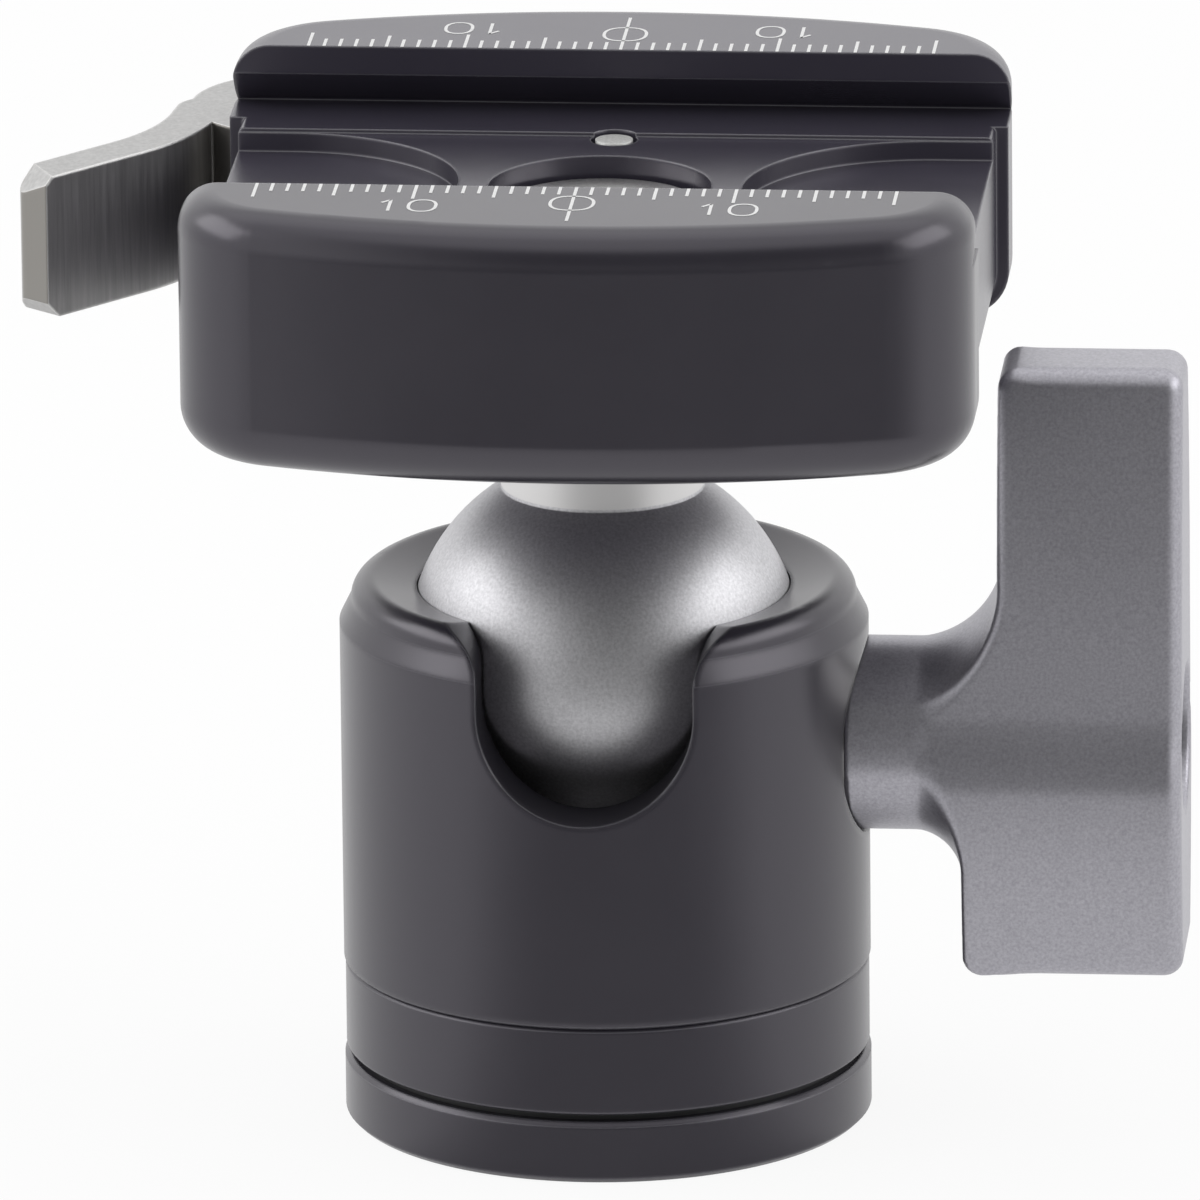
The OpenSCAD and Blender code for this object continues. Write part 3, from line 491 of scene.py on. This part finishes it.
def knob_field(p):
    """Distance to the knob's surface in millimetres, negative inside."""
    x, y, z = p[..., 0], p[..., 1], p[..., 2]
    radial = np.hypot(y, z - KNOB_Z)
    rod = radial - STEM_R
    rise = z - KNOB_Z
    upper = round_join(rod, rounded_box(x, z, LONG_X, OUTER_X, BOTTOM_Z, TOP_Z), LONG_FILLET)
    lower = round_join(rod, rounded_box(x, z, SHORT_X, OUTER_X, BOTTOM_Z, TOP_Z), SHORT_FILLET)
    share = smooth(rise / ARM_BLEND + 0.5)
    outline = lower * (1 - share) + upper * share
    outline = np.maximum(outline, x - OUTER_X)
    bow = np.where(rise > 0, UPPER_BOW, LOWER_BOW)
    climb, fall = CREST_TOP - CREST_FOOT, CREST_BACK - CREST_TOP
    below, above = (rise - CREST_FOOT) / climb, (rise - CREST_TOP) / fall
    waist = STEP_SLOPE * (climb * eased(below) + fall * (np.clip(above, 0, 1) - eased(above)))
    waist = waist * (1 - smooth((rise - CREST_BACK) / (CREST_GONE - CREST_BACK)))
    faces = np.abs(y) - (HALF_THICK + CREST - bow + np.sqrt(bow * bow - rise * rise) - waist)
    edge = CRISP_EDGE + (SOFT_EDGE - CRISP_EDGE) * smooth((x - SOFTER_FROM) / SOFTER_OVER)
    blade = round_cut(outline, faces, edge)
    stem = rod + STEM_SINK * smooth((x - STEM_END) / STEM_OVER)
    solid = soft_join(blade, np.maximum(stem, x - SHORT_X), STEM_BLEND)
    solid = round_cut(solid, STEM_X - x, CRISP_EDGE)
    for radius, start, end in BORES:
        bore = np.maximum(np.maximum(radial - radius, start - x), x - end)
        solid = round_cut(solid, -bore, CRISP_EDGE)
    return solid


def field_normals(field, points, step=0.01):
    """Unit gradient of a distance field, and its length."""
    slopes = [(field(points + d) - field(points - d)) / (2 * step) for d in np.eye(3) * step]
    grad = np.stack(slopes, axis=-1)
    size = np.maximum(np.linalg.norm(grad, axis=-1, keepdims=True), 1e-6)
    return grad / size, size


def surface_net(field, low, high, step):
    """Quad mesh on the zero surface of a distance field: vertices, faces and normals."""
    axes = [np.arange(a, b + step, step) for a, b in zip(low, high)]
    grid = np.stack(np.meshgrid(*axes, indexing="ij"), axis=-1)
    value = field(grid)
    inside = value < 0
    shape = tuple(n - 1 for n in value.shape)
    total, count = np.zeros(shape + (3,)), np.zeros(shape)
    crossings = []
    for axis in range(3):
        first, second = [slice(None)] * 3, [slice(None)] * 3
        first[axis], second[axis] = slice(0, -1), slice(1, None)
        v0, v1 = value[tuple(first)], value[tuple(second)]
        cross = inside[tuple(first)] != inside[tuple(second)]
        share = np.where(cross, v0 / np.where(cross, v0 - v1, 1), 0)
        point = grid[tuple(first)] + share[..., None] * (grid[tuple(second)] - grid[tuple(first)])
        others = [k for k in range(3) if k != axis]
        for i in (0, 1):
            for j in (0, 1):
                part = [slice(None)] * 3
                part[others[0]] = slice(i, i + shape[others[0]])
                part[others[1]] = slice(j, j + shape[others[1]])
                hit = cross[tuple(part)]
                total += np.where(hit[..., None], point[tuple(part)], 0)
                count += hit
        crossings.append((cross, inside[tuple(first)]))
    used = count > 0
    index = np.full(shape, -1)
    index[used] = np.arange(used.sum())
    vertices = total[used] / count[used][:, None]
    faces = []
    for axis, (cross, starts_inside) in enumerate(crossings):
        u, v = (axis + 1) % 3, (axis + 2) % 3
        where = np.argwhere(cross)
        keep = (where[:, u] > 0) & (where[:, v] > 0)
        keep &= (where[:, u] < shape[u]) & (where[:, v] < shape[v])
        where = where[keep]
        corners = []
        for du, dv in ((-1, -1), (0, -1), (0, 0), (-1, 0)):
            cell = where.copy()
            cell[:, u] += du
            cell[:, v] += dv
            corners.append(index[cell[:, 0], cell[:, 1], cell[:, 2]])
        quad = np.stack(corners, axis=-1)
        flip = ~starts_inside[where[:, 0], where[:, 1], where[:, 2]]
        quad[flip] = quad[flip][:, ::-1]
        faces.append(quad)
    for _ in range(SETTLE_STEPS):
        normals, size = field_normals(field, vertices)
        miss = np.clip(field(vertices)[:, None] / size, -step / 2, step / 2)
        vertices = vertices - miss * normals
    return vertices, np.concatenate(faces), field_normals(field, vertices)[0]


def field_object(name, body, material, field, low, high, step):
    """A piece on a body, whose mesh is the zero surface of a distance field in millimetres."""
    vertices, faces, normals = surface_net(field, low, high, step)
    mesh = bpy.data.meshes.new(name)
    mesh.from_pydata((vertices * MM).tolist(), [], faces.tolist())
    mesh.materials.append(material)
    mesh.polygons.foreach_set("use_smooth", [True] * len(mesh.polygons))
    mesh.normals_split_custom_set_from_vertices(normals.tolist())
    piece = bpy.data.objects.new(name, mesh)
    bpy.context.scene.collection.objects.link(piece)
    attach(piece, body)
    return piece


soft_knob = field_object("soft_knob", "knob", knob_metal, knob_field,
                         (STEM_X - GRID_INNER, -GRID_HALF_Y, BOTTOM_Z - GRID_MARGIN),
                         (OUTER_X + GRID_MARGIN, GRID_HALF_Y, TOP_Z + GRID_MARGIN), GRID_STEP)
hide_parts("knob")
soft_knob.visible_glossy = False


# ---------------------------------------------------------------- camera

TARGET = Vector((-0.25, 0, 33.45)) * MM
AZIMUTH, ELEVATION, ROLL = 5.0, 16.74, -0.593
DISTANCE = 1344 * MM
FOCAL_PX, FRAME_PX, SENSOR = 21178.0, 1200.0, 36.0


def make_camera():
    """The photo's view: a long lens from a little to the side and above, with a slight roll."""
    a, e, roll = (math.radians(v) for v in (AZIMUTH, ELEVATION, ROLL))
    back = Vector((math.sin(a) * math.cos(e), -math.cos(a) * math.cos(e), math.sin(e)))
    right = Vector((math.cos(a), math.sin(a), 0))
    up = back.cross(right)
    rolled_right = math.cos(roll) * right + math.sin(roll) * up
    rolled_up = -math.sin(roll) * right + math.cos(roll) * up
    data = bpy.data.cameras.new("camera")
    data.sensor_width = SENSOR
    data.lens = FOCAL_PX / FRAME_PX * SENSOR
    data.clip_start, data.clip_end = 0.05, 20
    camera = bpy.data.objects.new("camera", data)
    bpy.context.scene.collection.objects.link(camera)
    turn = Matrix((rolled_right, rolled_up, back)).transposed().to_4x4()
    camera.matrix_world = Matrix.Translation(TARGET + DISTANCE * back) @ turn
    bpy.context.scene.camera = camera


make_camera()


# ---------------------------------------------------------------- studio

def smooth_range(tree, value, low, high, start, end):
    """Smoothly maps low..high onto start..end."""
    return spread(tree, value, low, high, start, end, "SMOOTHSTEP")


def staged(name, mesh, material):
    """An object of the studio, which isn't part of the ball head."""
    mesh.materials.append(material)
    piece = bpy.data.objects.new(name, mesh)
    bpy.context.scene.collection.objects.link(piece)
    return piece


FRONT = math.radians(8)                       # heading of the dim front, off -Y
WEDGE_EDGE, WEDGE_CORE, WEDGE_DIM = 0.42, 0.95, 0.1   # cosines from that heading, and its level
STEEP_BRIGHT, STEEP_DIM = 0.6, 0.72           # Layer Weight's Facing: steep looks stay bright
FLOOR_HALF, FLOOR_COLOUR = 3.0, 0.92
GLOW_TO_CAMERA, GLOW_TO_GLOSSY = 0.9, 0.85    # shares of the floor's own light
FLAG_RADIUS, FLAG_HEIGHT, FLAG_HALF_ANGLE = 1.0, 0.03, 80
FLAG_FOOT, FLAG_SPAN, FLAG_COLUMNS, FLAG_ROWS = -1.5, 64, 48, 28
FLAG_LOW, FLAG_HIGH, FLAG_HIGH_Z = 0.3, 0.11, 0.4     # levels at the foot and above
FLAG_FADE_X, FLAG_FADE_Z = (0.32, 0.8), (0.68, 0.92)
FILL = 0.65                                   # the world's level for diffuse light
# Soft lamps: name, place, aim, width and height, radiance.
LAMPS = (("left_box", (-0.6, 0.0, 0.45), (0, 0, 0.03), (0.7, 0.4), 1.9),
         ("right_box", (0.6, -0.04, 0.45), (0, 0, 0.03), (0.7, 0.4), 1.7),
         ("top_box", (0, 0.22, 0.75), (0, 0, 0.05), (0.9, 0.45), 0.35),
         ("back_box", (0, 0.85, 0.36), (0, 0, 0.05), (1.5, 0.6), 0.15))


def floor():
    """Pale floor with a soft shadow. Its front part is dim in reflections."""
    material, tree, shader = new_material("floor_white")
    set_all(shader, Roughness=0.9, Specular_IOR_Level=0.0)
    place = object_xyz(tree)
    flat = add(tree, "ShaderNodeCombineXYZ")
    tree.links.new(place["X"], flat.inputs["X"])
    tree.links.new(place["Y"], flat.inputs["Y"])
    heading = add(tree, "ShaderNodeVectorMath", operation="NORMALIZE")
    tree.links.new(flat.outputs[0], heading.inputs[0])
    ahead = add(tree, "ShaderNodeVectorMath", operation="DOT_PRODUCT")
    ahead.inputs[1].default_value = (math.sin(FRONT), -math.cos(FRONT), 0)
    tree.links.new(heading.outputs[0], ahead.inputs[0])
    wedge = smooth_range(tree, ahead.outputs["Value"], WEDGE_EDGE, WEDGE_CORE, 1.0, WEDGE_DIM)
    slant = add(tree, "ShaderNodeLayerWeight", Blend=0.5)
    steep = smooth_range(tree, slant.outputs["Facing"], STEEP_BRIGHT, STEEP_DIM, 1.0, 0.0)
    path = add(tree, "ShaderNodeLightPath").outputs
    level = mixed(tree, path["Is Glossy Ray"], 1.0, maths(tree, "MAXIMUM", wedge, steep))
    grey = maths(tree, "MULTIPLY", level, FLOOR_COLOUR)
    colour = add(tree, "ShaderNodeCombineColor")
    for channel in ("Red", "Green", "Blue"):
        tree.links.new(grey, colour.inputs[channel])
    tree.links.new(colour.outputs[0], shader.inputs["Base Color"])
    gloss = maths(tree, "MULTIPLY", path["Is Glossy Ray"], GLOW_TO_GLOSSY)
    share = maths(tree, "MULTIPLY_ADD", path["Is Camera Ray"], GLOW_TO_CAMERA, gloss)
    glow = add(tree, "ShaderNodeEmission", Color=(1, 1, 1, 1))
    tree.links.new(level, glow.inputs["Strength"])
    mix = add(tree, "ShaderNodeMixShader")
    for socket, source in zip(mix.inputs, (share, shader.outputs[0], glow.outputs[0])):
        tree.links.new(source, socket)
    tree.links.new(mix.outputs[0], tree.nodes["Material Output"].inputs["Surface"])
    corners = [(x * FLOOR_HALF, y * FLOOR_HALF, 0) for x, y in ((-1, -1), (1, -1), (1, 1), (-1, 1))]
    mesh = bpy.data.meshes.new("floor")
    mesh.from_pydata(corners, [], [(0, 1, 2, 3)])
    staged("floor", mesh, material)


def dark_flag():
    """Curved dark card at the front, which the polished faces reflect. Only reflections see it."""
    vertices, faces = [], []
    for j in range(FLAG_ROWS + 1):
        for i in range(FLAG_COLUMNS + 1):
            azimuth = math.radians(-FLAG_HALF_ANGLE + 2 * FLAG_HALF_ANGLE * i / FLAG_COLUMNS)
            height = math.radians(FLAG_FOOT + FLAG_SPAN * j / FLAG_ROWS)
            vertices.append((FLAG_RADIUS * math.sin(azimuth) * math.cos(height),
                             -FLAG_RADIUS * math.cos(azimuth) * math.cos(height),
                             FLAG_HEIGHT + FLAG_RADIUS * math.sin(height)))
    for j in range(FLAG_ROWS):
        for i in range(FLAG_COLUMNS):
            k = j * (FLAG_COLUMNS + 1) + i
            faces.append((k, k + 1, k + FLAG_COLUMNS + 2, k + FLAG_COLUMNS + 1))
    mesh = bpy.data.meshes.new("dark_flag")
    mesh.from_pydata(vertices, [], faces)
    material = bpy.data.materials.new("flag_cloth")
    material.use_nodes = True
    tree = material.node_tree
    tree.nodes.remove(tree.nodes["Principled BSDF"])
    place = object_xyz(tree)
    aside = maths(tree, "ABSOLUTE", maths(tree, "SUBTRACT", place["X"], math.sin(FRONT)))
    shade = smooth_range(tree, place["Z"], 0.0, FLAG_HIGH_Z, FLAG_LOW, FLAG_HIGH)
    fade = maths(tree, "MAXIMUM", smooth_range(tree, aside, *FLAG_FADE_X, 0.0, 1.0),
                 smooth_range(tree, place["Z"], *FLAG_FADE_Z, 0.0, 1.0))
    level = mixed(tree, fade, shade, 1.0)
    glow = add(tree, "ShaderNodeEmission", Color=(1, 1, 1, 1))
    tree.links.new(level, glow.inputs["Strength"])
    tree.links.new(glow.outputs[0], tree.nodes["Material Output"].inputs["Surface"])
    piece = staged("dark_flag", mesh, material)
    for unseen in ("visible_camera", "visible_diffuse", "visible_shadow", "visible_transmission",
                   "visible_volume_scatter"):
        setattr(piece, unseen, False)


def softbox(name, place, aim, size, radiance):
    """Rectangular lamp of an even radiance, not seen by the camera."""
    data = bpy.data.lights.new(name, "AREA")
    data.shape = "RECTANGLE"
    data.size, data.size_y = size
    data.energy = radiance * math.pi * size[0] * size[1]
    lamp = bpy.data.objects.new(name, data)
    bpy.context.scene.collection.objects.link(lamp)
    lamp.location = place
    lamp.rotation_euler = (Vector(aim) - Vector(place)).to_track_quat("-Z", "Y").to_euler()
    lamp.visible_camera = False
    return lamp


def world():
    """White surroundings, a little dimmer as fill light than as backdrop."""
    scene_world = bpy.data.worlds.new("studio")
    scene_world.use_nodes = True
    bpy.context.scene.world = scene_world
    tree = scene_world.node_tree
    background = tree.nodes["Background"]
    background.inputs["Color"].default_value = (1, 1, 1, 1)
    path = add(tree, "ShaderNodeLightPath").outputs
    seen = maths(tree, "MAXIMUM", path["Is Camera Ray"], path["Is Glossy Ray"])
    seen = maths(tree, "MAXIMUM", seen, path["Is Transmission Ray"])
    tree.links.new(mixed(tree, seen, FILL, 1.0), background.inputs["Strength"])


floor()
dark_flag()
world()
for lamp in LAMPS:
    softbox(*lamp)
bpy.context.scene.view_settings.view_transform = "Standard"
